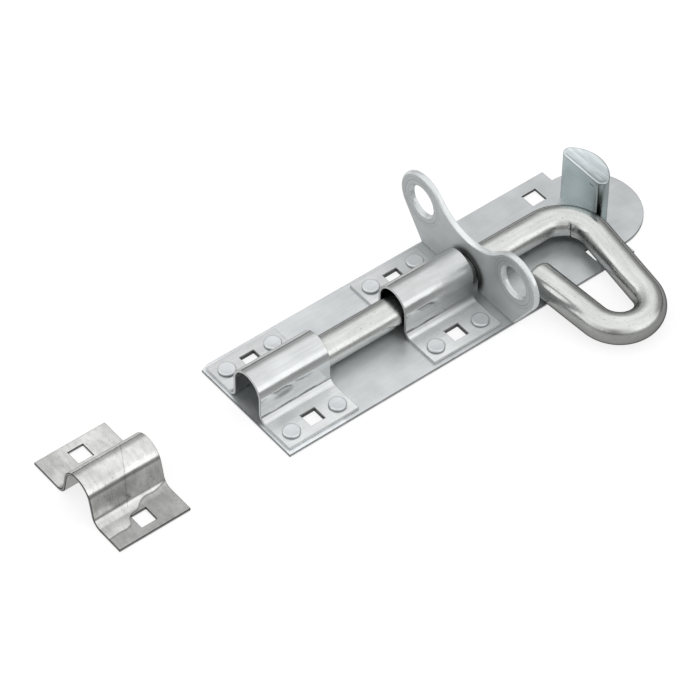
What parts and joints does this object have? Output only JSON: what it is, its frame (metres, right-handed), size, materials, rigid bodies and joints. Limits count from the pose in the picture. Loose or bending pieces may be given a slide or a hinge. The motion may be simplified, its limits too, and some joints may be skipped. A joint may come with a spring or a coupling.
{
  "type": "padbolt",
  "caption": "Sliding padbolt: a round bar with a turned-back loop handle in two folded straps on a plate, an eared padlock bracket, a back stop and a loose staple.",
  "frame": {"origin": "centre of the rectangular plate's back face, which lies on the door or gate", "axes": "+X along the bar towards its loop, so the bolt shoots towards -X; +Y across the plate, away from the lowered loop; +Z off the door"},
  "size_m": [0.3393, 0.1373, 0.0449],
  "materials": {
    "plate_zinc": "satin",
    "strap_zinc": "satin",
    "rivet_zinc": "satin",
    "bracket_zinc": "satin",
    "stop_zinc": "satin",
    "bar_zinc": "satin",
    "staple_zinc": "satin"
  },
  "bodies": {
    "base": {"base_plate": "plate_zinc", "front_guide": "strap_zinc", "rear_guide": "strap_zinc", "front_guide_rivets": "rivet_zinc", "rear_guide_rivets": "rivet_zinc", "locking_bracket": "bracket_zinc", "back_stop": "stop_zinc", "staple": "staple_zinc"},
    "shank": {"bolt_shank": "bar_zinc"},
    "loop": {"bolt_loop": "bar_zinc"}
  },
  "joints": [
    {"name": "bolt_slide", "type": "slide", "parent": "base", "child": "shank", "axis": [-1, 0, 0], "range_m": [0, 0.013]},
    {"name": "bolt_turn", "type": "hinge", "parent": "shank", "child": "loop", "pos_m": [0.075, 0, 0.0111], "axis": [-1, 0, 0], "range_deg": [0, 184]}
  ]
}
